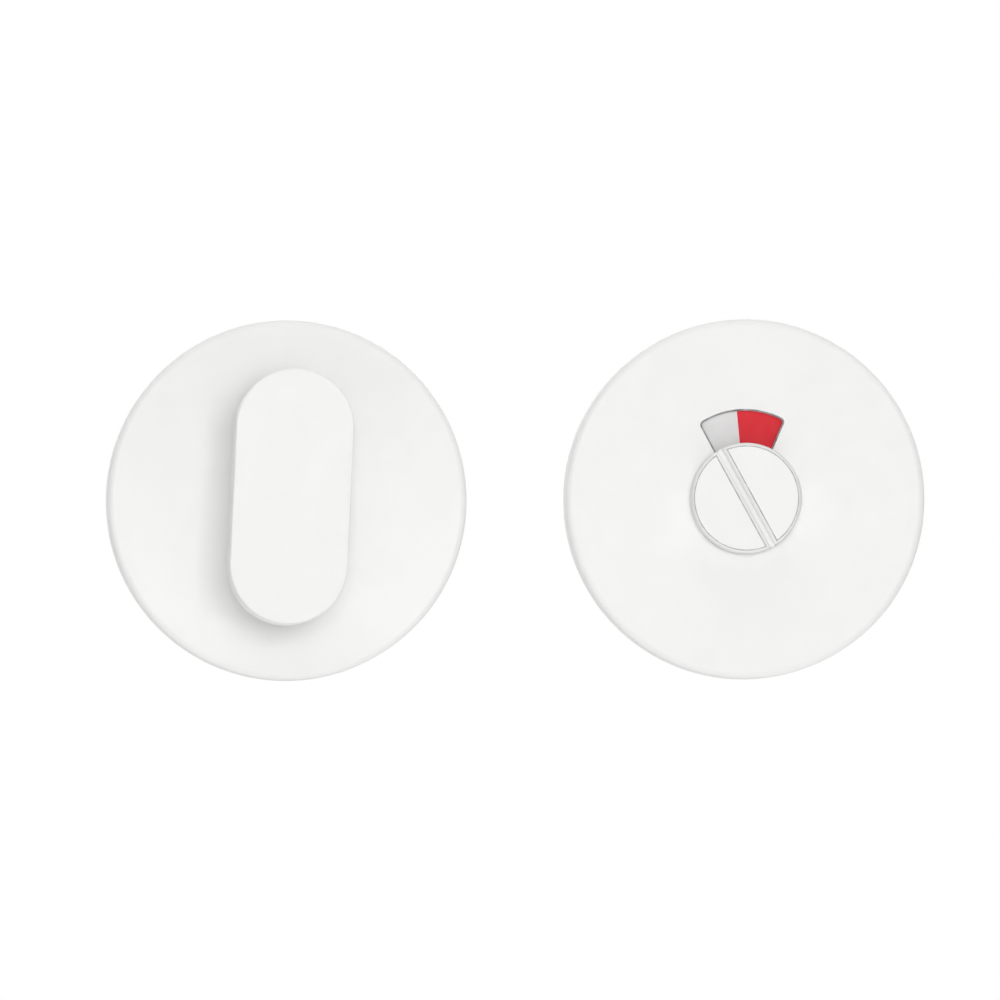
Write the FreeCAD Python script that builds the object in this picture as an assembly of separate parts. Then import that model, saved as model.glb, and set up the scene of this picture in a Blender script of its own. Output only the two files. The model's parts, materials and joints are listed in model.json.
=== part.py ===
"""Bathroom thumb turn lock: the inside half with its turn, and the outside half with its slotted
release and red and white indicator, side by side with their backs in one plane.

Frame: X to the right seen from the front, Z up, Y into the door. The origin is on the inside half's
axis, at the face of the door. Sizes are in millimetres and degrees.

Every piece is first modelled about its half's own axis: x to the right, y up, z out of the door,
with z = 0 at the door's face. place() then stands that axis level at the half's position.
Angles about the axis are counter-clockwise seen from the front, from the right-hand horizontal.
"""

import FreeCAD
import Part

import math
import os

from FreeCAD import Vector

# Rose covers
ROSE_DIAMETER = 52.0
ROSE_HEIGHT = 8.0
ROSE_EDGE_RADIUS = 1.0
SHEET = 1.0
HALF_SPACING = 66.3

# Cast bases under the covers, and the wire rings that hold the covers on
BASE_CLEARANCE = 0.2
BASE_WEB = 1.6
BASE_RIM_WALL = 2.0
BASE_BEVEL = 0.4
RIB_WIDTH = 1.5
RIB_COUNT = 8
HUB_WALL = 2.0
HUB_SPIGOT = 4.0
HUB_SHOULDER = 2.0
SNAP_WIRE_RADIUS = 0.45
SNAP_CLEARANCE = 0.1
SNAP_GAP_ANGLE = 14.0
SNAP_HEIGHT = 3.5

# Shafts, their bushes, and what holds them
SPINDLE_SIDE = 5.0
SPINDLE_PROJECTION = 57.0
SPINDLE_BEVEL = 0.6
SPINDLE_NOTCH_DEPTH = 0.4
SPINDLE_NOTCH_PITCH = 6.0
SPINDLE_NOTCH_COUNT = 4
SQUARE_CLEARANCE = 0.05
SHAFT_WALL = 1.46
SHAFT_TAIL = 1.2
RUNNING_CLEARANCE = 0.05
THRUST_PLAY = 0.15
BUSH_WALL = 1.0
BUSH_FLANGE = 0.6
BUSH_FLANGE_WIDTH = 1.4
GROOVE_DEPTH = 0.3
CLIP_THICKNESS = 1.0
CLIP_WIDTH = 1.7
CLIP_GAP_ANGLE = 44.0
CLIP_EAR_RADIUS = 1.3
CLIP_EYE_RADIUS = 0.55
CLIP_PLAY = 0.05
WASHER_THICKNESS = 0.3
WASHER_HEIGHT = 0.6
WASHER_WIDTH = 2.0

# Thumb turn
TURN_LENGTH = 36.7
TURN_WIDTH = 17.0
TURN_DEPTH = 13.0
TURN_STANDOFF = 7.0
TURN_FRONT_RADIUS = 0.3
TURN_BACK_RADIUS = 1.0
NECK_WALL = 1.7
NECK_FLARE = 0.8
NECK_CLEARANCE = 0.08
STUB_STEP = 0.2
STUB_FLAT = 0.8
STUB_END_GAP = 0.8
SOCKET_CLEARANCE = 0.05
COLLAR_THICKNESS = 1.1
GRUB_RADIUS = 2.0
GRUB_SUNK = 0.3
GRUB_KEY_WIDTH = 2.0
GRUB_KEY_DEPTH = 1.8
GUIDE_WALL = 1.1
GUIDE_FLANGE = 0.3
GUIDE_FLANGE_WIDTH = 1.2

# Release, indicator and window
RELEASE_DIAMETER = 16.0
RELEASE_RISE = 3.0
RELEASE_BEVEL = 0.45
RELEASE_LIP = 0.6
RELEASE_LIFT = 0.15
RELEASE_GAP = 0.25
RELEASE_SHOULDER = 1.0
RELEASE_FLAT = 0.8
RELEASE_WEB = 1.2
COIN_SLOT_WIDTH = 1.8
COIN_SLOT_FLOOR = 0.7
COIN_SLOT_BEVEL = 0.35
COIN_SLOT_DEPTH = 1.1
INDICATOR_GAP = 0.3
INDICATOR_THICKNESS = 1.3
INDICATOR_MARGIN = 1.2
RED_THICKNESS = 0.3
RED_MARGIN = 0.4
RED_EDGE_ANGLE = 66.5
RED_SPAN_ANGLE = 105.0
WINDOW_CROWN = 12.75
WINDOW_ARC_RADIUS = 11.6
WINDOW_HALF_ANGLE = 25.6
WINDOW_APEX_DROP = 1.45
WINDOW_CORNER_RADIUS = 0.5
WINDOW_LEAN_ANGLE = 2.1

# How far the turn and the release stand turned, and between which angles their stops let them go
TURN_REST_ANGLE = -2.9
TURN_LOW_ANGLE = -96.0
TURN_HIGH_ANGLE = 6.0
RELEASE_REST_ANGLE = 28.5
RELEASE_LOW_ANGLE = -6.0
RELEASE_HIGH_ANGLE = 96.0
PEG_RADIUS = 1.2
PEG_INSET = 2.2
PEG_TOP_GAP = 0.8
PEG_ANGLE = -90.0
STOP_CLEARANCE = 0.15

# Bolts and sleeves that clamp the two halves to the door
BOLT_INSET = 7.0
BOLT_RADIUS = 2.0
BOLT_SHANK_RADIUS = 1.77
BOLT_SHANK_END = 0.3
BOLT_HEAD_RADIUS = 3.5
BOLT_HEAD_HEIGHT = 2.6
BOLT_HEAD_GAP = 0.3
BOLT_TIP_BEVEL = 0.6
BOLT_PROJECTION = 36.0
BOLT_HOLE_CLEARANCE = 0.2
CROSS_WIDTH = 0.9
CROSS_LENGTH = 4.2
CROSS_DEPTH = 1.6
SEAT_CLEARANCE = 0.2
BOSS_WALL = 1.5
SLEEVE_RADIUS = 3.4
SLEEVE_BORE = 1.65
SLEEVE_FLANGE = 1.0
SLEEVE_FLANGE_WIDTH = 1.0
SLEEVE_PROJECTION = 18.0
SLEEVE_BLIND_END = 1.2
SLEEVE_MOUTH_BEVEL = 0.4

# Radii that follow from the sizes above
rose_radius = ROSE_DIAMETER / 2
skirt_radius = rose_radius - SHEET
base_radius = skirt_radius - BASE_CLEARANCE
rim_inner = base_radius - BASE_RIM_WALL
snap_groove = SNAP_WIRE_RADIUS + SNAP_CLEARANCE
square_side = SPINDLE_SIDE + 2 * SQUARE_CLEARANCE
shaft_radius = SPINDLE_SIDE / math.sqrt(2) + SHAFT_WALL
groove_radius = shaft_radius - GROOVE_DEPTH
bush_bore = shaft_radius + RUNNING_CLEARANCE
bush_radius = bush_bore + BUSH_WALL
hub_radius = bush_radius + HUB_WALL
pocket_inner = hub_radius + HUB_SHOULDER
stub_radius = shaft_radius - STUB_STEP
neck_radius = stub_radius + NECK_WALL
guide_bore = neck_radius + NECK_CLEARANCE
guide_radius = guide_bore + GUIDE_WALL
release_radius = RELEASE_DIAMETER / 2
release_neck = release_radius - RELEASE_LIP
release_hole = release_neck + RELEASE_GAP
shoulder_radius = shaft_radius + RELEASE_SHOULDER
plate_radius = WINDOW_CROWN + INDICATOR_MARGIN
peg_ring = plate_radius - PEG_INSET
bolt_offset = rose_radius - BOLT_INSET
flange_radius = SLEEVE_RADIUS + SLEEVE_FLANGE_WIDTH
seat_radius = max(flange_radius, BOLT_HEAD_RADIUS) + SEAT_CLEARANCE
boss_radius = SLEEVE_RADIUS + BOSS_WALL

# Heights over the door's face that follow from the sizes above
face_inner = ROSE_HEIGHT - SHEET
plate_top = face_inner - INDICATOR_GAP
plate_bottom = plate_top - INDICATOR_THICKNESS
collar_top = plate_bottom + COLLAR_THICKNESS
bush_top = plate_bottom - THRUST_PLAY
base_top = bush_top - BUSH_FLANGE
pocket_top = base_top - BASE_WEB
peg_top = face_inner - PEG_TOP_GAP
seat_height = plate_bottom - BOLT_HEAD_GAP - BOLT_HEAD_HEIGHT
hub_back = -HUB_SPIGOT
washer_back = hub_back - WASHER_HEIGHT
clip_front = washer_back - CLIP_PLAY
clip_back = clip_front - CLIP_THICKNESS
shaft_end = clip_back - SHAFT_TAIL
grip_back = ROSE_HEIGHT + TURN_STANDOFF
stub_top = grip_back - STUB_END_GAP
grub_height = ROSE_HEIGHT + TURN_STANDOFF / 2
release_front = ROSE_HEIGHT + RELEASE_RISE

ORIGIN = Vector(0, 0, 0)
AXIS = Vector(0, 0, 1)


def disc(radius, low, high, x=0.0, y=0.0):
    """A round bar along the axis, between two heights."""
    return Part.makeCylinder(radius, high - low, Vector(x, y, low))


def ring(inner, outer, low, high):
    """A tube about the axis."""
    return disc(outer, low, high).cut(disc(inner, low, high))


def block(width, height, low, high, x=0.0, y=0.0):
    """A rectangular bar along the axis, centred on x and y."""
    corner = Vector(x - width / 2, y - height / 2, low)
    return Part.makeBox(width, height, high - low, corner)


def wedge(radius, start, span, low, high):
    """A slice of a round bar, from the start angle through the span."""
    piece = Part.makeCylinder(radius, high - low, Vector(0, 0, low), AXIS, span)
    piece.rotate(ORIGIN, AXIS, start)
    return piece


def ring_slice(inner, outer, start, span, low, high):
    """A slice of a tube about the axis."""
    return wedge(outer, start, span, low, high).cut(disc(inner, low, high))


def extruded(corners, direction):
    """A straight-sided bar from a closed outline of points."""
    return Part.Face(Part.makePolygon(corners + corners[:1])).extrude(direction)


def two_flats(radius, flat, low, high):
    """A round bar with a flat cut on its left and right sides."""
    return disc(radius, low, high).common(block(2 * (radius - flat), 2 * radius, low, high))


def on_ring(radius, angle):
    """The x and y of a point on a circle about the axis."""
    turn = math.radians(angle)
    return radius * math.cos(turn), radius * math.sin(turn)


def edges_at(shape, height):
    """The edges that lie wholly at one height."""
    level = []
    for edge in shape.Edges:
        box = edge.BoundBox
        if max(abs(box.ZMin - height), abs(box.ZMax - height)) < 1e-4:
            level.append(edge)
    return level


def rose_cover(opening):
    """The pressed cover: a flat face with a rounded edge, and a skirt grooved for the wire ring."""
    cover = disc(rose_radius, 0, ROSE_HEIGHT)
    cover = cover.makeFillet(ROSE_EDGE_RADIUS, edges_at(cover, ROSE_HEIGHT))
    cover = cover.cut(disc(skirt_radius, 0, face_inner))
    cover = cover.cut(Part.makeTorus(base_radius, snap_groove, Vector(0, 0, SNAP_HEIGHT)))
    return cover.cut(opening)


def turn_opening():
    """The round hole for the guide ring."""
    return disc(guide_radius, face_inner, ROSE_HEIGHT)


def release_opening():
    """The release's round hole, joined to the fan-shaped window above it."""
    half = math.radians(WINDOW_HALF_ANGLE)
    apex = Vector(0, -WINDOW_APEX_DROP, face_inner)
    reach = 2 * (WINDOW_CROWN + WINDOW_APEX_DROP)
    left = apex + Vector(-math.sin(half), math.cos(half), 0) * reach
    right = apex + Vector(math.sin(half), math.cos(half), 0) * reach
    fan = extruded([apex, right, left], Vector(0, 0, SHEET))
    arc_height = WINDOW_CROWN - WINDOW_ARC_RADIUS
    fan = fan.common(disc(WINDOW_ARC_RADIUS, face_inner, ROSE_HEIGHT, 0, arc_height))
    corners = []
    for edge in fan.Edges:
        upright = edge.BoundBox.ZLength > SHEET / 2
        if upright and edge.BoundBox.YMin > 0:
            corners.append(edge)
    fan = fan.makeFillet(WINDOW_CORNER_RADIUS, corners)
    return fan.fuse(disc(release_hole, face_inner, ROSE_HEIGHT))


def rose_base(hole_radius):
    """The cast base: ribbed at the back, with a hub, two fastener seats and a stop peg."""
    base = disc(base_radius, 0, base_top)
    base = base.makeChamfer(BASE_BEVEL, edges_at(base, 0))
    pockets = ring(pocket_inner, rim_inner, 0, pocket_top)
    for number in range(RIB_COUNT):
        rib = block(base_radius, RIB_WIDTH, 0, pocket_top, base_radius / 2)
        rib.rotate(ORIGIN, AXIS, (number + 0.5) * 360 / RIB_COUNT)
        pockets = pockets.cut(rib)
    for y in (-bolt_offset, bolt_offset):
        pockets = pockets.cut(disc(boss_radius, 0, pocket_top, 0, y))
    base = base.cut(pockets)
    base = base.fuse(ring(rim_inner, base_radius, base_top, face_inner))
    base = base.fuse(disc(hub_radius, hub_back, base_top))
    peg_x, peg_y = on_ring(peg_ring, PEG_ANGLE)
    base = base.fuse(disc(PEG_RADIUS, base_top, peg_top, peg_x, peg_y))
    base = base.cut(disc(bush_radius, hub_back, base_top))
    low, high = SNAP_HEIGHT - snap_groove, SNAP_HEIGHT + snap_groove
    base = base.cut(ring(base_radius - snap_groove, rose_radius, low, high))
    for y in (-bolt_offset, bolt_offset):
        base = base.cut(disc(hole_radius, 0, seat_height, 0, y))
        base = base.cut(disc(seat_radius, seat_height, face_inner, 0, y))
    return base


def snap_ring():
    """The open wire ring that sits half in the base's groove and half in the cover's."""
    section = Part.makeCircle(SNAP_WIRE_RADIUS, Vector(base_radius, 0, SNAP_HEIGHT), Vector(0, 1, 0))
    wire = Part.Face(Part.Wire(section)).revolve(ORIGIN, AXIS, 360 - SNAP_GAP_ANGLE)
    wire.rotate(ORIGIN, AXIS, PEG_ANGLE + SNAP_GAP_ANGLE / 2)
    return wire


def hub_bush():
    """The flanged nylon bush that a shaft turns in."""
    bush = ring(bush_bore, bush_radius, hub_back, base_top)
    return bush.fuse(ring(bush_bore, bush_radius + BUSH_FLANGE_WIDTH, base_top, bush_top))


def spring_washer():
    """A coned spring washer between a hub's back and the circlip."""
    outer = bush_bore + WASHER_WIDTH
    corners = [
        Vector(bush_bore, 0, washer_back),
        Vector(bush_bore, 0, washer_back + WASHER_THICKNESS),
        Vector(outer, 0, hub_back),
        Vector(outer, 0, hub_back - WASHER_THICKNESS),
    ]
    return Part.Face(Part.makePolygon(corners + corners[:1])).revolve(ORIGIN, AXIS, 360)


def circlip():
    """An open spring ring with two eared ends."""
    clip = ring(groove_radius, groove_radius + CLIP_WIDTH, clip_back, clip_front)
    start = PEG_ANGLE - CLIP_GAP_ANGLE / 2
    clip = clip.cut(wedge(2 * shaft_radius, start, CLIP_GAP_ANGLE, clip_back, clip_front))
    ear_ring = groove_radius + CLIP_EAR_RADIUS
    lean = CLIP_GAP_ANGLE / 2 + math.degrees(math.asin(CLIP_EAR_RADIUS / ear_ring))
    for angle in (PEG_ANGLE - lean, PEG_ANGLE + lean):
        ear_x, ear_y = on_ring(ear_ring, angle)
        clip = clip.fuse(disc(CLIP_EAR_RADIUS, clip_back, clip_front, ear_x, ear_y))
        clip = clip.cut(disc(CLIP_EYE_RADIUS, clip_back, clip_front, ear_x, ear_y))
    return clip.cut(disc(groove_radius, clip_back, clip_front))


def grooved_shaft():
    """The round shaft that turns in a hub, with the circlip's groove near its end."""
    shaft = disc(shaft_radius, shaft_end, plate_bottom)
    return shaft.cut(ring(groove_radius, 2 * shaft_radius, clip_back, clip_front))


def stop_notch(low, high, top):
    """The notch in a turning plate's edge that runs past the peg, and ends where the piece stops."""
    inner = peg_ring - PEG_RADIUS - STOP_CLEARANCE
    slack = math.degrees(math.asin((PEG_RADIUS + STOP_CLEARANCE) / peg_ring))
    start = PEG_ANGLE - high - slack
    span = high - low + 2 * slack
    return ring_slice(inner, 2 * plate_radius, start, span, plate_bottom, top)


def turn_grip():
    """The obround grip, standing upright, with its edges eased."""
    radius = TURN_WIDTH / 2
    straight = TURN_LENGTH / 2 - radius
    right_low = Vector(radius, -straight, grip_back)
    right_high = Vector(radius, straight, grip_back)
    left_high = Vector(-radius, straight, grip_back)
    left_low = Vector(-radius, -straight, grip_back)
    crown = Vector(0, straight + radius, grip_back)
    foot = Vector(0, -straight - radius, grip_back)
    outline = Part.Wire(
        [
            Part.LineSegment(right_low, right_high).toShape(),
            Part.Arc(right_high, crown, left_high).toShape(),
            Part.LineSegment(left_high, left_low).toShape(),
            Part.Arc(left_low, foot, right_low).toShape(),
        ]
    )
    grip = Part.Face(outline).extrude(Vector(0, 0, TURN_DEPTH))
    grip = grip.makeFillet(TURN_FRONT_RADIUS, edges_at(grip, grip_back + TURN_DEPTH))
    return grip.makeFillet(TURN_BACK_RADIUS, edges_at(grip, grip_back))


def grub_bar(radius, reach):
    """A round bar that points down from the spindle's lower flat, at the grub screw's height."""
    start = Vector(0, -SPINDLE_SIDE / 2, grub_height)
    return Part.makeCylinder(radius, reach - SPINDLE_SIDE / 2, start, Vector(0, -1, 0))


def thumb_turn():
    """The grip and its neck, with a socket for the driver's stub and a hole for the grub screw."""
    flare_low = grip_back - NECK_FLARE
    flare = disc(neck_radius + NECK_FLARE, flare_low, grip_back)
    flare = flare.cut(Part.makeTorus(neck_radius + NECK_FLARE, NECK_FLARE, Vector(0, 0, flare_low)))
    turn = turn_grip().fuse(disc(neck_radius, collar_top, grip_back)).fuse(flare)
    socket_radius = stub_radius + SOCKET_CLEARANCE
    turn = turn.cut(two_flats(socket_radius, STUB_FLAT, collar_top, stub_top + SOCKET_CLEARANCE))
    return turn.cut(grub_bar(GRUB_RADIUS, neck_radius))


def turn_grub_screw():
    """The set screw, from the spindle's flat to just under the neck's surface, with its hex key."""
    reach = neck_radius - GRUB_SUNK
    corners = []
    for number in range(6):
        x, z = on_ring(GRUB_KEY_WIDTH / math.sqrt(3), 60 * number)
        corners.append(Vector(x, -reach, grub_height + z))
    return grub_bar(GRUB_RADIUS, reach).cut(extruded(corners, Vector(0, GRUB_KEY_DEPTH, 0)))


def turn_driver():
    """The shaft that carries the turn: journal, stop collar and a stub that fits the neck's socket."""
    collar = disc(plate_radius, plate_bottom, collar_top)
    collar = collar.cut(stop_notch(TURN_LOW_ANGLE, TURN_HIGH_ANGLE, collar_top))
    stub = two_flats(stub_radius, STUB_FLAT, collar_top, stub_top)
    driver = grooved_shaft().fuse(collar).fuse(stub)
    driver = driver.cut(block(square_side, square_side, shaft_end, stub_top))
    return driver.cut(grub_bar(GRUB_RADIUS + SOCKET_CLEARANCE, stub_radius))


def spindle():
    """The square bar through the door, with bevelled ends and notches to snap it to length."""
    bar = block(SPINDLE_SIDE, SPINDLE_SIDE, -SPINDLE_PROJECTION, stub_top)
    for height in (-SPINDLE_PROJECTION, stub_top):
        bar = bar.makeChamfer(SPINDLE_BEVEL, edges_at(bar, height))
    core = SPINDLE_SIDE - 2 * SPINDLE_NOTCH_DEPTH
    for number in range(SPINDLE_NOTCH_COUNT):
        middle = -SPINDLE_PROJECTION + (number + 1) * SPINDLE_NOTCH_PITCH
        low, high = middle - SPINDLE_NOTCH_DEPTH, middle + SPINDLE_NOTCH_DEPTH
        waist = block(core, core, low, high)
        bar = bar.cut(block(2 * SPINDLE_SIDE, 2 * SPINDLE_SIDE, low, high).cut(waist))
    return bar


def neck_guide_ring():
    """The nylon ring in the inside cover's hole, flush in front and flanged behind."""
    flange_outer = guide_radius + GUIDE_FLANGE_WIDTH
    flange = ring(guide_bore, flange_outer, face_inner - GUIDE_FLANGE, face_inner)
    return flange.fuse(ring(guide_bore, guide_radius, face_inner, ROSE_HEIGHT))


def coin_slot():
    """The slot across the release, with a wide bevelled mouth."""
    mouth, half = COIN_SLOT_WIDTH / 2, COIN_SLOT_FLOOR / 2
    bevel = release_front - COIN_SLOT_BEVEL
    floor = release_front - COIN_SLOT_DEPTH
    outline = [
        (-mouth, release_front),
        (-half, bevel),
        (-half, floor),
        (half, floor),
        (half, bevel),
        (mouth, release_front),
    ]
    corners = [Vector(x, -RELEASE_DIAMETER, height) for x, height in outline]
    return extruded(corners, Vector(0, 2 * RELEASE_DIAMETER, 0))


def release_knob():
    """The slotted head over the cover, its neck, the indicator's shoulder and the socketed shaft."""
    lip = ROSE_HEIGHT + RELEASE_LIFT
    head = disc(release_radius, lip, release_front)
    head = head.makeChamfer(RELEASE_BEVEL, edges_at(head, release_front))
    head = head.fuse(disc(release_neck, plate_top, lip))
    shoulder = two_flats(shoulder_radius, RELEASE_FLAT, plate_bottom, plate_top)
    knob = head.cut(coin_slot()).fuse(shoulder).fuse(grooved_shaft())
    return knob.cut(block(square_side, square_side, shaft_end, plate_top - RELEASE_WEB))


def indicator_red_field():
    """The red field, flush in the indicator disc, from under the release to near the edge."""
    inner = release_neck + RED_MARGIN
    outer = plate_radius - RED_MARGIN
    start = RED_EDGE_ANGLE - RED_SPAN_ANGLE
    return ring_slice(inner, outer, start, RED_SPAN_ANGLE, plate_top - RED_THICKNESS, plate_top)


def indicator_disc():
    """The white plate behind the window, with a recess for the red field and the stop notch."""
    hole_radius = shoulder_radius + SOCKET_CLEARANCE
    plate = disc(plate_radius, plate_bottom, plate_top)
    plate = plate.cut(two_flats(hole_radius, RELEASE_FLAT, plate_bottom, plate_top))
    plate = plate.cut(stop_notch(RELEASE_LOW_ANGLE, RELEASE_HIGH_ANGLE, plate_top))
    return plate.cut(indicator_red_field())


def through_bolt(y):
    """One bolt that clamps the halves together: head on its seat, point into the door."""
    head_top = seat_height + BOLT_HEAD_HEIGHT
    head = disc(BOLT_HEAD_RADIUS, seat_height, head_top, 0, y)
    for width, height in ((CROSS_WIDTH, CROSS_LENGTH), (CROSS_LENGTH, CROSS_WIDTH)):
        head = head.cut(block(width, height, head_top - CROSS_DEPTH, head_top, 0, y))
    shank = disc(BOLT_SHANK_RADIUS, -BOLT_SHANK_END, seat_height, 0, y)
    thread = disc(BOLT_RADIUS, -BOLT_PROJECTION, -BOLT_SHANK_END, 0, y)
    thread = thread.makeChamfer(BOLT_TIP_BEVEL, edges_at(thread, -BOLT_PROJECTION))
    return head.fuse(shank).fuse(thread).removeSplitter()


def threaded_sleeve(y):
    """One sleeve that takes a through bolt: a flange on its seat and a blind bore from the back."""
    flange = disc(flange_radius, seat_height, seat_height + SLEEVE_FLANGE, 0, y)
    body = disc(SLEEVE_RADIUS, -SLEEVE_PROJECTION, seat_height, 0, y)
    body = body.makeChamfer(SLEEVE_MOUTH_BEVEL, edges_at(body, -SLEEVE_PROJECTION))
    bore = disc(SLEEVE_BORE, -SLEEVE_PROJECTION, seat_height - SLEEVE_BLIND_END, 0, y)
    return flange.fuse(body).cut(bore).removeSplitter()


def pair(make):
    """The upper and lower of two like fasteners, as one group of separate solids."""
    return Part.makeCompound([make(bolt_offset), make(-bolt_offset)])


def place(shape, x, turn=0.0):
    """Turns a piece about its axis, then stands the axis level at its half's place on the door."""
    placed = shape.removeSplitter()
    placed.rotate(ORIGIN, AXIS, turn)
    placed.rotate(ORIGIN, Vector(1, 0, 0), 90)
    placed.translate(Vector(x, 0, 0))
    return placed


def inside_half():
    """The nodes of the half with the thumb turn, in place."""
    bolt_hole = BOLT_RADIUS + BOLT_HOLE_CLEARANCE
    return {
        "inside_rose_cover": place(rose_cover(turn_opening()), 0),
        "inside_rose_base": place(rose_base(bolt_hole), 0),
        "inside_snap_ring": place(snap_ring(), 0),
        "inside_bush": place(hub_bush(), 0),
        "neck_guide_ring": place(neck_guide_ring(), 0),
        "turn_spring_washer": place(spring_washer(), 0),
        "through_bolts": place(pair(through_bolt), 0),
        "thumb_turn": place(thumb_turn(), 0, TURN_REST_ANGLE),
        "turn_driver": place(turn_driver(), 0, TURN_REST_ANGLE),
        "turn_grub_screw": place(turn_grub_screw(), 0, TURN_REST_ANGLE),
        "turn_circlip": place(circlip(), 0, TURN_REST_ANGLE),
        "spindle": place(spindle(), 0, TURN_REST_ANGLE),
    }


def outside_half():
    """The nodes of the half with the release and the indicator, in place."""
    return {
        "outside_rose_cover": place(rose_cover(release_opening()), HALF_SPACING, WINDOW_LEAN_ANGLE),
        "outside_rose_base": place(rose_base(SLEEVE_RADIUS), HALF_SPACING),
        "outside_snap_ring": place(snap_ring(), HALF_SPACING),
        "outside_bush": place(hub_bush(), HALF_SPACING),
        "release_spring_washer": place(spring_washer(), HALF_SPACING),
        "threaded_sleeves": place(pair(threaded_sleeve), HALF_SPACING),
        "release_knob": place(release_knob(), HALF_SPACING, RELEASE_REST_ANGLE),
        "indicator_disc": place(indicator_disc(), HALF_SPACING, RELEASE_REST_ANGLE),
        "indicator_red_field": place(indicator_red_field(), HALF_SPACING, RELEASE_REST_ANGLE),
        "release_circlip": place(circlip(), HALF_SPACING, RELEASE_REST_ANGLE),
    }


os.makedirs("parts", exist_ok=True)
for half in (inside_half(), outside_half()):
    for node, shape in half.items():
        shape.exportStep("parts/" + node + ".step")
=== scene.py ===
"""Looks of the bathroom thumb turn lock: finishes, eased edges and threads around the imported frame,
in a plain studio seen from the photograph's viewpoint.

Metres, in the part's own frame: X to the right seen from the front, Z up, Y into the door.
"""

import json
import math
from collections import namedtuple

import bmesh
import bpy
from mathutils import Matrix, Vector


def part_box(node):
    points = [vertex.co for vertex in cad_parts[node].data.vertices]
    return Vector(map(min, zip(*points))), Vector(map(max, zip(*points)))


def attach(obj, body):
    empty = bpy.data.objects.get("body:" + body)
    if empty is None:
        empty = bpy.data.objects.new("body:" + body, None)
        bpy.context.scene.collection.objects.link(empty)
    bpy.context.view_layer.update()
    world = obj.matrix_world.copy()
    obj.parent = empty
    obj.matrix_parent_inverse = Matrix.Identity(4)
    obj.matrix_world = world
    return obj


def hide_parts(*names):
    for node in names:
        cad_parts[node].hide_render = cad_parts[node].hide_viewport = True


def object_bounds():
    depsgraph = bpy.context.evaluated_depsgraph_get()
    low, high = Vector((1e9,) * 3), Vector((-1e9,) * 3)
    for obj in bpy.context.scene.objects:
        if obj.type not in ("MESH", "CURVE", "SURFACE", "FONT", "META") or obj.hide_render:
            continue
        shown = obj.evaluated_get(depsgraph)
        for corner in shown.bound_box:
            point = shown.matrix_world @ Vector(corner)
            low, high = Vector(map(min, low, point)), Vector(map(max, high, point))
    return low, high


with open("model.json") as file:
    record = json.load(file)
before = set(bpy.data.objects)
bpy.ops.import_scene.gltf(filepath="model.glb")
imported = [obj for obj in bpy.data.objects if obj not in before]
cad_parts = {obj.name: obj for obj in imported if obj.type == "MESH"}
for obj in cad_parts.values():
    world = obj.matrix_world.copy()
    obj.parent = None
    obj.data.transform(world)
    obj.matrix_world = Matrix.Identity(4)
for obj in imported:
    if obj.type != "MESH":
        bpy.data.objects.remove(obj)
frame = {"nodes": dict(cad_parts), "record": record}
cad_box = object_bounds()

MM = 0.001
SQUARE = ((-1, -1), (1, -1), (1, 1), (-1, 1))
EVEN = (1.0, 1.0, 1.0)
WHITE = (1.0, 1.0, 1.0, 1.0)

# Camera: the photograph's viewpoint, far away, a little to the left of the front and below it
CAMERA_AZIMUTH = -2.65
CAMERA_ELEVATION = -1.65
CAMERA_ROLL = -0.25
CAMERA_DISTANCE = 3.0
CAMERA_REACH = 4 * CAMERA_DISTANCE
CAMERA_AIM = Vector((0.03078, -0.008, -0.00009))
FIELD_WIDTH = 144.5 * MM
SENSOR_WIDTH = 36.0

# Ambient light: its strength, and the lower one that it fades to at both sides of the studio
AMBIENT = 0.46
SIDE_AMBIENT = 0.06
SIDE_START = 0.35
SIDE_END = 0.85

# Lamps: soft squares in front, above and at each side of the back
LAMP_DISTANCE = 1.2
KEY_AZIMUTH = 2.0
KEY_ELEVATION = 0.5
KEY_SIZE = 0.36
KEY_POWER = 7.0
TOP_ELEVATION = 80.0
TOP_SIZE = 0.8
TOP_POWER = 4.6
BACK_AZIMUTH = 145.0
BACK_ELEVATION = 20.0
BACK_SIZE = 1.4
BACK_POWER = 4.6

# Floor: pale, matt and below the object
FLOOR_DROP = 0.03
FLOOR_SIZE = 8.0
FLOOR_GREY = 0.85
FLOOR_GLOW = 0.17

# Edges: how far each piece's are eased, and how its mesh is cleaned and shaded
COVER_EASING = 0.24 * MM
RELEASE_EASING = 0.10 * MM
CASTING_EASING = 0.05 * MM
RING_EASING = 0.10 * MM
SHAFT_EASING = 0.15 * MM
SPINDLE_EASING = 0.18 * MM
FASTENER_EASING = 0.10 * MM
EASING_STEPS = 3
ROUND_PROFILE = 0.5
WELD_DISTANCE = 0.0005 * MM
PLANE_TOLERANCE = 0.001 * MM
FLAT_ANGLE = math.radians(0.4)
SHARP_ANGLE = math.radians(24.0)
SMOOTH_ANGLE = math.radians(50.0)

# Threads: M4, rolled, with rounded crests and roots
THREAD_PITCH = 0.7 * MM
THREAD_DEPTH = 0.4 * MM
THREAD_ROWS = 10
THREAD_WALL_LENGTH = 10 * MM

# Edge grey: the grey on eased front edges, partly paint worn thin and partly painted shade along the
# window's edge, how far on each piece, and how unevenly
EDGE_MARK = "eased_edge"
# The covers' grey is painted shade as much as thin paint: it draws the dark line along the window's
# edge
COVER_WEAR_AND_SHADE = 1.0
RELEASE_WEAR = 0.7
THIN_PAINT_AND_SHADE = (0.14, 0.14, 0.15, 1.0)
EDGE_GREY_SCALE = 900.0
EDGE_GREY_DETAIL = 2.0
EDGE_GREY_LEAST = 0.55
EDGE_GREY_MOST = 1.0

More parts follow.
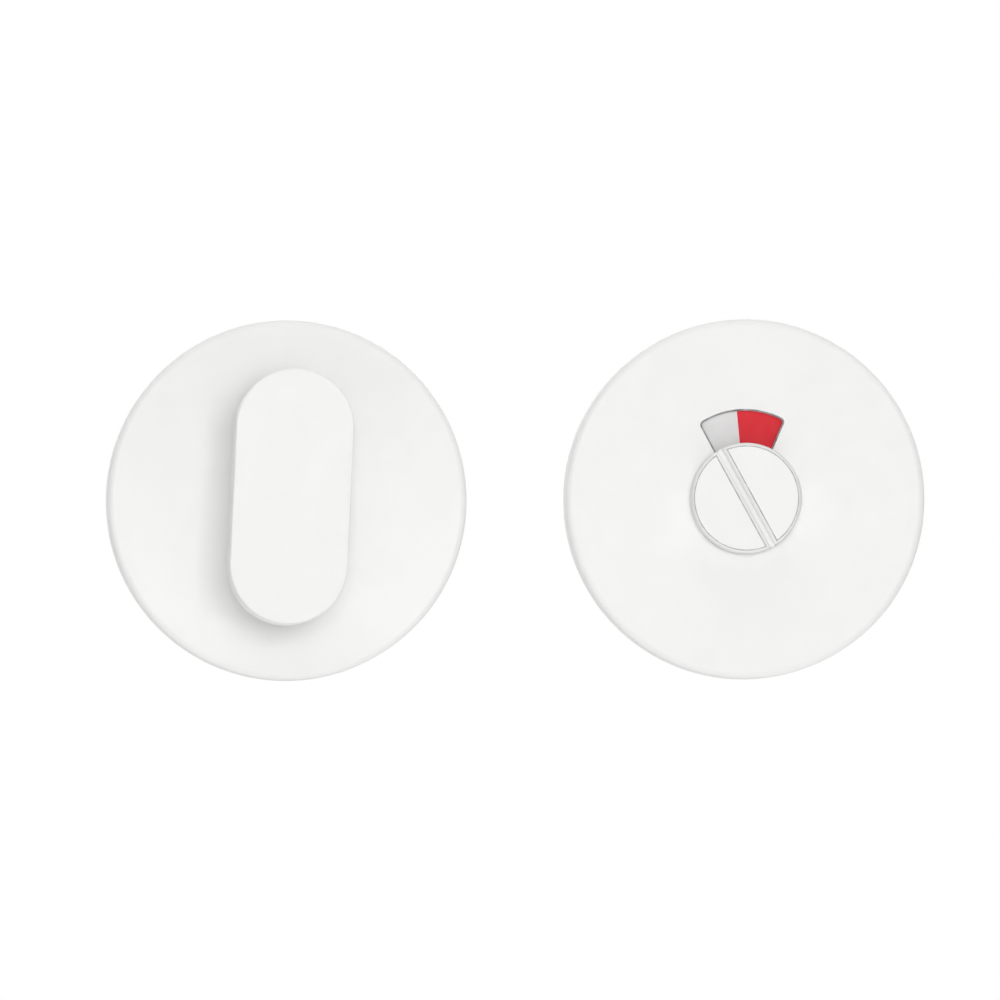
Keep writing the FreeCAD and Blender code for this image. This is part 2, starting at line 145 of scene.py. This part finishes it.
# Finishes: the noise behind each one's clouding, gloss and grain, in features per metre.
# A tone below 1 deepens the colour.
NOISE_LOW = 0.3
NOISE_HIGH = 0.7
Finish = namedtuple(
    "Finish",
    (
        "cloud_scale", "cloud_detail", "cloud_spread",
        "gloss_scale", "gloss_detail", "smoothest", "roughest",
        "grain_scale", "grain_detail", "grain_height",
        "grain_stretch", "tone",
    ),
    defaults=(EVEN, 1.0),
)
WHITE_PAINT = Finish(
    cloud_scale=140.0, cloud_detail=2.0, cloud_spread=0.006,
    gloss_scale=420.0, gloss_detail=2.0, smoothest=0.48, roughest=0.58,
    grain_scale=1900.0, grain_detail=3.0, grain_height=0.006 * MM,
)
CAST_ZINC = Finish(
    cloud_scale=260.0, cloud_detail=6.0, cloud_spread=0.14,
    gloss_scale=700.0, gloss_detail=4.0, smoothest=0.42, roughest=0.6,
    grain_scale=2600.0, grain_detail=4.0, grain_height=0.03 * MM,
    tone=0.72,
)
PLATED_STEEL = Finish(
    cloud_scale=300.0, cloud_detail=3.0, cloud_spread=0.10,
    gloss_scale=900.0, gloss_detail=3.0, smoothest=0.2, roughest=0.34,
    grain_scale=4000.0, grain_detail=2.0, grain_height=0.008 * MM,
    grain_stretch=(1.0, 0.03, 1.0), tone=0.60,
)
SPRING_STEEL = Finish(
    cloud_scale=900.0, cloud_detail=4.0, cloud_spread=0.25,
    gloss_scale=1300.0, gloss_detail=3.0, smoothest=0.36, roughest=0.52,
    grain_scale=5000.0, grain_detail=3.0, grain_height=0.008 * MM,
)
NYLON = Finish(
    cloud_scale=220.0, cloud_detail=2.0, cloud_spread=0.03,
    gloss_scale=600.0, gloss_detail=2.0, smoothest=0.4, roughest=0.52,
    grain_scale=3000.0, grain_detail=2.0, grain_height=0.008 * MM,
)
PLASTIC = Finish(
    cloud_scale=300.0, cloud_detail=2.0, cloud_spread=0.02,
    gloss_scale=800.0, gloss_detail=2.0, smoothest=0.5, roughest=0.6,
    grain_scale=5000.0, grain_detail=3.0, grain_height=0.004 * MM,
)
NYLON_SCATTER = 0.2
NYLON_SCATTER_RADIUS = (0.8 * MM, 0.7 * MM, 0.5 * MM)
PLASTIC_SHEEN = 0.2
INDICATOR_WHITE = (0.80, 0.80, 0.80)
INDICATOR_RED = (0.74, 0.022, 0.035)


def direction(azimuth, elevation):
    """The unit vector from the object towards a viewer at that angle."""
    turn = math.radians(azimuth)
    lift = math.radians(elevation)
    level = math.cos(lift)
    return Vector((math.sin(turn) * level, -math.cos(turn) * level, math.sin(lift)))


def look_at(obj, place, target):
    """Puts a lamp or camera at a place, aimed at the target."""
    obj.location = place
    obj.rotation_euler = (target - place).to_track_quat("-Z", "Y").to_euler()


def link(obj):
    """Adds an object to the scene."""
    bpy.context.scene.collection.objects.link(obj)
    return obj


def new_material(name):
    """A material with its node tree, and the principled shader in it."""
    material = bpy.data.materials.new(name)
    material.use_nodes = True
    return material, material.node_tree, material.node_tree.nodes["Principled BSDF"]


def maths(tree, operation, *sources):
    """The result of an operation on one or two values."""
    node = tree.nodes.new("ShaderNodeMath")
    node.operation = operation
    for source, socket in zip(sources, node.inputs):
        tree.links.new(source, socket)
    return node.outputs["Value"]


def map_range(tree, source, start, end, low, high):
    """A value that runs from low to high while the source runs from start to end."""
    spread = tree.nodes.new("ShaderNodeMapRange")
    spread.inputs["From Min"].default_value = start
    spread.inputs["From Max"].default_value = end
    spread.inputs["To Min"].default_value = low
    spread.inputs["To Max"].default_value = high
    tree.links.new(source, spread.inputs["Value"])
    return spread.outputs["Result"]


def mix_shaders(tree, amount, first, second):
    """The first shader where the amount is 0, and the second where it is 1."""
    mix = tree.nodes.new("ShaderNodeMixShader")
    tree.links.new(amount, mix.inputs["Fac"])
    tree.links.new(first, mix.inputs[1])
    tree.links.new(second, mix.inputs[2])
    return mix.outputs["Shader"]


def noise(tree, scale, detail, stretch=EVEN):
    """A noise texture in the object's own metres, with features of about 1 / scale."""
    coordinates = tree.nodes.new("ShaderNodeTexCoord")
    mapping = tree.nodes.new("ShaderNodeMapping")
    texture = tree.nodes.new("ShaderNodeTexNoise")
    mapping.inputs["Scale"].default_value = stretch
    texture.inputs["Scale"].default_value = scale
    texture.inputs["Detail"].default_value = detail
    tree.links.new(coordinates.outputs["Object"], mapping.inputs["Vector"])
    tree.links.new(mapping.outputs["Vector"], texture.inputs["Vector"])
    return texture.outputs["Fac"]


def vary_colour(tree, shader, source, dark, light):
    """The base colour runs between two shades with a texture."""
    ramp = tree.nodes.new("ShaderNodeValToRGB")
    ramp.color_ramp.elements[0].position = NOISE_LOW
    ramp.color_ramp.elements[1].position = NOISE_HIGH
    ramp.color_ramp.elements[0].color = (*dark, 1.0)
    ramp.color_ramp.elements[1].color = (*light, 1.0)
    tree.links.new(source, ramp.inputs["Fac"])
    tree.links.new(ramp.outputs["Color"], shader.inputs["Base Color"])


def vary_roughness(tree, shader, source, low, high):
    """The roughness runs between two values with a texture."""
    roughness = map_range(tree, source, NOISE_LOW, NOISE_HIGH, low, high)
    tree.links.new(roughness, shader.inputs["Roughness"])


def add_bump(tree, shader, source, height):
    """Raises and sinks the surface by a texture, over that height."""
    bump = tree.nodes.new("ShaderNodeBump")
    bump.inputs["Strength"].default_value = 1.0
    bump.inputs["Distance"].default_value = height
    tree.links.new(source, bump.inputs["Height"])
    tree.links.new(bump.outputs["Normal"], shader.inputs["Normal"])


def shades(colour, spread, tone):
    """A darker and a lighter shade about a colour, as deep as the tone makes it."""
    toned = [channel * tone for channel in colour]
    dark = [channel * (1 - spread) for channel in toned]
    light = [min(channel * (1 + spread), 1.0) for channel in toned]
    return dark, light


def finished_material(slot, finish, colour):
    """A slot's material, with clouding, gloss and grain as its finish has them, and its shader."""
    material, tree, shader = new_material(slot)
    clouding = noise(tree, finish.cloud_scale, finish.cloud_detail)
    gloss = noise(tree, finish.gloss_scale, finish.gloss_detail)
    grain = noise(tree, finish.grain_scale, finish.grain_detail, finish.grain_stretch)
    vary_colour(tree, shader, clouding, *shades(colour, finish.cloud_spread, finish.tone))
    vary_roughness(tree, shader, gloss, finish.smoothest, finish.roughest)
    add_bump(tree, shader, grain, finish.grain_height)
    return material, shader


def slot_colour(slot):
    """The colour that the record gives a material slot."""
    for material in frame["record"]["materials"]:
        if material["slot"] == slot:
            return material["base_color"]
    raise KeyError(slot)


def thin_paint_and_painted_shade(tree, shader):
    """Paints grey, unevenly, on eased front edges: metal showing through thin paint, and painted
    shade along the window's edge.
    """
    mark = tree.nodes.new("ShaderNodeAttribute")
    mark.attribute_name = EDGE_MARK
    patches = noise(tree, EDGE_GREY_SCALE, EDGE_GREY_DETAIL)
    unevenness = map_range(tree, patches, NOISE_LOW, NOISE_HIGH, EDGE_GREY_LEAST, EDGE_GREY_MOST)
    amount = maths(tree, "MULTIPLY", mark.outputs["Fac"], unevenness)
    mix = tree.nodes.new("ShaderNodeMix")
    mix.data_type = "RGBA"
    paint, grey = [socket for socket in mix.inputs if socket.type == "RGBA"]
    result = [socket for socket in mix.outputs if socket.type == "RGBA"][0]
    # The grey stands for thin paint, and on the covers' window edges for painted shade
    grey.default_value = THIN_PAINT_AND_SHADE
    tree.links.new(amount, mix.inputs["Factor"])
    tree.links.new(shader.inputs["Base Color"].links[0].from_socket, paint)
    tree.links.new(result, shader.inputs["Base Color"])


def white_paint():
    """Satin powder coat: slight clouding, an uneven sheen, a fine orange peel, and grey edges of thin
    paint and painted shade.
    """
    colour = slot_colour("white_paint")
    material, shader = finished_material("white_paint", WHITE_PAINT, colour)
    thin_paint_and_painted_shade(material.node_tree, shader)
    return material


def bare_metal(slot, finish):
    """Unpainted metal: dull and mottled as cast, drawn and plated, or dark and phosphated."""
    material, shader = finished_material(slot, finish, slot_colour(slot))
    shader.inputs["Metallic"].default_value = 1.0
    return material


def nylon():
    """Natural nylon: off-white and slightly translucent."""
    material, shader = finished_material("nylon", NYLON, slot_colour("nylon"))
    shader.inputs["Subsurface Weight"].default_value = NYLON_SCATTER
    shader.inputs["Subsurface Radius"].default_value = NYLON_SCATTER_RADIUS
    return material


def moulded_plastic(slot, colour):
    """Moulded plastic with a fine spark-eroded texture and a low sheen."""
    material, shader = finished_material(slot, PLASTIC, colour)
    shader.inputs["Specular IOR Level"].default_value = PLASTIC_SHEEN
    return material


def all_materials():
    """One material for each of the record's slots."""
    return {
        "white_paint": white_paint(),
        "cast_zinc": bare_metal("cast_zinc", CAST_ZINC),
        "plated_steel": bare_metal("plated_steel", PLATED_STEEL),
        "spring_steel": bare_metal("spring_steel", SPRING_STEEL),
        "nylon": nylon(),
        "indicator_white": moulded_plastic("indicator_white", INDICATOR_WHITE),
        "indicator_red": moulded_plastic("indicator_red", INDICATOR_RED),
    }


def finish_nodes(materials):
    """Gives every CAD node the material of its slot."""
    for subpart in frame["record"]["subparts"]:
        mesh = frame["nodes"][subpart["node"]].data
        mesh.materials.clear()
        mesh.materials.append(materials[subpart["material_slot"]])


def body_of(node):
    """The body that a CAD node moves with."""
    for body, nodes in frame["record"]["behaviour"]["bodies"].items():
        if node in nodes:
            return body
    raise KeyError(node)


def slot_of(node):
    """The material slot of a CAD node."""
    for subpart in frame["record"]["subparts"]:
        if subpart["node"] == node:
            return subpart["material_slot"]
    raise KeyError(node)


def solid_mesh(node):
    """A CAD node's mesh to work on, welded, with its flat faces merged."""
    mesh = bmesh.new()
    mesh.from_mesh(frame["nodes"][node].data)
    bmesh.ops.remove_doubles(mesh, verts=mesh.verts, dist=WELD_DISTANCE)
    bmesh.ops.dissolve_limit(mesh, angle_limit=FLAT_ANGLE, verts=mesh.verts, edges=mesh.edges)
    return mesh


def sharp_edges(mesh):
    """The edges at which the surface turns a corner."""
    return [edge for edge in mesh.edges if edge.calc_face_angle(0.0) > SHARP_ANGLE]


def outer_edges(mesh):
    """The sharp edges that point outwards."""
    return [edge for edge in sharp_edges(mesh) if edge.is_convex]


def in_plane(edge, plane):
    """Whether an edge lies in a plane that is level with the door's face."""
    return all(abs(vert.co.y - plane) < PLANE_TOLERANCE for vert in edge.verts)


def front_edges(mesh):
    """The sharp edges that lie in the piece's front face."""
    plane = min(vert.co.y for vert in mesh.verts)
    return [edge for edge in sharp_edges(mesh) if in_plane(edge, plane)]


def back_edges(mesh):
    """The sharp edges that lie in the piece's back face."""
    plane = max(vert.co.y for vert in mesh.verts)
    return [edge for edge in sharp_edges(mesh) if in_plane(edge, plane)]


def face_edges(mesh):
    """The sharp edges that lie in the piece's front or back face."""
    return front_edges(mesh) + back_edges(mesh)


def ease(mesh, edges, width, wear_and_shade=0.0):
    """Rounds edges off, and marks the new faces at the front with how much grey, of thin paint and
    painted shade, they get.
    """
    mark = mesh.faces.layers.float.new(EDGE_MARK)
    front = min(vert.co.y for vert in mesh.verts)
    result = bmesh.ops.bevel(
        mesh,
        geom=edges,
        offset=width,
        offset_type="OFFSET",
        segments=EASING_STEPS,
        profile=ROUND_PROFILE,
        affect="EDGES",
        clamp_overlap=False,
        loop_slide=True,
    )
    for face in result["faces"]:
        if face.calc_center_median().y < front + width:
            face[mark] = wear_and_shade


def cut_thread(mesh, axis_x, axis_z, radius, depth):
    """Runs a right-hand thread along the straight wall of that radius about an axis along Y."""
    walls = []
    for edge in mesh.edges:
        reach = [math.hypot(vert.co.x - axis_x, vert.co.z - axis_z) for vert in edge.verts]
        on_wall = all(abs(distance - radius) < PLANE_TOLERANCE for distance in reach)
        if on_wall and edge.calc_length() > THREAD_WALL_LENGTH:
            walls.append(edge)
    ends = [vert.co.y for edge in walls for vert in edge.verts]
    low, high = min(ends), max(ends)
    cuts = int((high - low) / THREAD_PITCH * THREAD_ROWS)
    result = bmesh.ops.subdivide_edges(mesh, edges=walls, cuts=cuts, use_grid_fill=True)
    for vert in result["geom_inner"]:
        if not isinstance(vert, bmesh.types.BMVert):
            continue
        x, z = vert.co.x - axis_x, vert.co.z - axis_z
        turns = vert.co.y / THREAD_PITCH - math.atan2(x, z) / math.tau
        runout = min(vert.co.y - low, high - vert.co.y, THREAD_PITCH) / THREAD_PITCH
        groove = depth * runout * (0.5 - 0.5 * math.cos(math.tau * turns))
        scale = (radius + groove) / radius
        vert.co.x = axis_x + x * scale
        vert.co.z = axis_z + z * scale


def dress(node, mesh, material):
    """Makes the worked mesh a piece that stands for its CAD node and moves with it."""
    data = bpy.data.meshes.new("finished_" + node)
    mesh.to_mesh(data)
    mesh.free()
    data.shade_smooth()
    data.set_sharp_from_angle(angle=SMOOTH_ANGLE)
    data.materials.append(material)
    piece = link(bpy.data.objects.new("finished_" + node, data))
    weighting = piece.modifiers.new("weighted_normals", "WEIGHTED_NORMAL")
    weighting.keep_sharp = True
    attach(piece, body_of(node))
    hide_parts(node)
    return piece


def eased_piece(node, choose, width, material, wear_and_shade=0.0):
    """A CAD node with chosen edges rounded off."""
    mesh = solid_mesh(node)
    ease(mesh, choose(mesh), width, wear_and_shade)
    return dress(node, mesh, material)


def bare_behind(piece, plane, metal):
    """Leaves a painted piece as bare metal behind a plane that is level with the door's face."""
    piece.data.materials.append(metal)
    bare = len(piece.data.materials) - 1
    for face in piece.data.polygons:
        if face.center.y > plane:
            face.material_index = bare


def release_piece(materials):
    """The release: painted in front, bare from the indicator's face backwards."""
    paint = materials["white_paint"]
    piece = eased_piece("release_knob", face_edges, RELEASE_EASING, paint, RELEASE_WEAR)
    bare_behind(piece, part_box("indicator_disc")[0].y, materials["cast_zinc"])


def cover_pieces(materials):
    """The two covers, with the edges of their front and back faces eased."""
    # The window's eased edges get grey that is partly thin paint and partly painted shade
    for node in ("inside_rose_cover", "outside_rose_cover"):
        eased_piece(node, face_edges, COVER_EASING, materials["white_paint"], COVER_WEAR_AND_SHADE)


def threaded_pieces(materials):
    """The bolts with their thread outside, and the sleeves with theirs inside."""
    mounts = {mount["name"]: mount for mount in frame["record"]["mounts"]}
    bolts = mounts["inside_through_bolts"]
    sleeves = mounts["outside_sleeve_threads"]
    bolt_radius = bolts["dims"]["stud_r_mm"] * MM
    bore_radius = sleeves["dims"]["hole_r_mm"] * MM
    for node, mount, radius, depth in (
        ("through_bolts", bolts, bolt_radius, -THREAD_DEPTH),
        ("threaded_sleeves", sleeves, bore_radius, THREAD_DEPTH),
    ):
        mesh = solid_mesh(node)
        ease(mesh, sharp_edges(mesh), FASTENER_EASING)
        offset = mount["dims"]["pcd_mm"] / 2 * MM
        for side in (offset, -offset):
            cut_thread(mesh, mount["pos_m"][0], side, radius, depth)
        dress(node, mesh, materials[slot_of(node)])


def finished_pieces(materials):
    """The pieces whose edges show, with those edges eased, and the threaded fasteners."""
    for node, choose, width in (
        ("inside_rose_base", outer_edges, CASTING_EASING),
        ("outside_rose_base", outer_edges, CASTING_EASING),
        ("neck_guide_ring", sharp_edges, RING_EASING),
        ("turn_grub_screw", sharp_edges, RING_EASING),
        ("turn_driver", back_edges, SHAFT_EASING),
        ("spindle", sharp_edges, SPINDLE_EASING),
    ):
        eased_piece(node, choose, width, materials[slot_of(node)])
    cover_pieces(materials)
    release_piece(materials)
    threaded_pieces(materials)


def seen_rays(tree):
    """1 for rays that see, mirror or look through to the background, and 0 for the others."""
    path = tree.nodes.new("ShaderNodeLightPath")
    camera, glossy = path.outputs["Is Camera Ray"], path.outputs["Is Glossy Ray"]
    mirrored = maths(tree, "MAXIMUM", camera, glossy)
    return maths(tree, "MAXIMUM", mirrored, path.outputs["Is Transmission Ray"])


def ambient_strength(tree):
    """The ambient light's strength in each direction, lower at both sides."""
    coordinates = tree.nodes.new("ShaderNodeTexCoord")
    split = tree.nodes.new("ShaderNodeSeparateXYZ")
    tree.links.new(coordinates.outputs["Generated"], split.inputs["Vector"])
    sideways = maths(tree, "ABSOLUTE", split.outputs["X"])
    return map_range(tree, sideways, SIDE_START, SIDE_END, AMBIENT, SIDE_AMBIENT)


def studio_world():
    """White where it is seen, mirrored or looked through, and the ambient light elsewhere."""
    world = bpy.data.worlds.new("studio")
    world.use_nodes = True
    tree = world.node_tree
    tree.nodes.clear()
    ambient = tree.nodes.new("ShaderNodeBackground")
    ambient.inputs["Color"].default_value = WHITE
    tree.links.new(ambient_strength(tree), ambient.inputs["Strength"])
    white = tree.nodes.new("ShaderNodeBackground")
    white.inputs["Color"].default_value = WHITE
    white.inputs["Strength"].default_value = 1.0
    surface = mix_shaders(
        tree, seen_rays(tree), ambient.outputs["Background"], white.outputs["Background"]
    )
    output = tree.nodes.new("ShaderNodeOutputWorld")
    tree.links.new(surface, output.inputs["Surface"])
    bpy.context.scene.world = world


def floor_material():
    """Pale and matt, with a faint glow that fills shadows, and see-through from underneath."""
    material, tree, shader = new_material("floor")
    shader.inputs["Base Color"].default_value = (FLOOR_GREY, FLOOR_GREY, FLOOR_GREY, 1.0)
    shader.inputs["Roughness"].default_value = 1.0
    shader.inputs["Specular IOR Level"].default_value = 0.0
    shader.inputs["Emission Color"].default_value = WHITE
    shader.inputs["Emission Strength"].default_value = FLOOR_GLOW
    underneath = tree.nodes.new("ShaderNodeNewGeometry").outputs["Backfacing"]
    clear = tree.nodes.new("ShaderNodeBsdfTransparent")
    surface = mix_shaders(tree, underneath, shader.outputs["BSDF"], clear.outputs["BSDF"])
    tree.links.new(surface, tree.nodes["Material Output"].inputs["Surface"])
    return material


def studio_floor():
    """The pale floor below the object."""
    middle = (cad_box[0] + cad_box[1]) / 2
    half = FLOOR_SIZE / 2
    height = cad_box[0].z - FLOOR_DROP
    corners = [(middle.x + x * half, middle.y + y * half, height) for x, y in SQUARE]
    mesh = bpy.data.meshes.new("floor")
    mesh.from_pydata(corners, [], [(0, 1, 2, 3)])
    mesh.materials.append(floor_material())
    link(bpy.data.objects.new("floor", mesh))


def soft_lamp(name, azimuth, elevation, size, power):
    """A square lamp at that angle, aimed at the middle of the object."""
    data = bpy.data.lights.new(name, "AREA")
    data.shape = "SQUARE"
    data.size = size
    data.energy = power
    lamp = link(bpy.data.objects.new(name, data))
    target = (cad_box[0] + cad_box[1]) / 2
    look_at(lamp, target + direction(azimuth, elevation) * LAMP_DISTANCE, target)


def studio_lamps():
    """A soft key in front, a little to the right, one above, and one at each side of the back."""
    soft_lamp("key", KEY_AZIMUTH, KEY_ELEVATION, KEY_SIZE, KEY_POWER)
    soft_lamp("top", KEY_AZIMUTH, TOP_ELEVATION, TOP_SIZE, TOP_POWER)
    soft_lamp("back_right", BACK_AZIMUTH, BACK_ELEVATION, BACK_SIZE, BACK_POWER)
    soft_lamp("back_left", -BACK_AZIMUTH, BACK_ELEVATION, BACK_SIZE, BACK_POWER)


def studio_camera():
    """The camera, at the photograph's angle and scale."""
    data = bpy.data.cameras.new("camera")
    data.sensor_width = SENSOR_WIDTH
    data.lens = SENSOR_WIDTH * CAMERA_DISTANCE / FIELD_WIDTH
    data.clip_end = CAMERA_REACH
    camera = link(bpy.data.objects.new("camera", data))
    place = CAMERA_AIM + direction(CAMERA_AZIMUTH, CAMERA_ELEVATION) * CAMERA_DISTANCE
    look_at(camera, place, CAMERA_AIM)
    camera.rotation_euler.rotate_axis("Z", math.radians(CAMERA_ROLL))
    bpy.context.scene.camera = camera


bpy.context.scene.view_settings.view_transform = "Standard"
studio_world()
studio_floor()
studio_lamps()
studio_camera()
materials = all_materials()
finish_nodes(materials)
finished_pieces(materials)
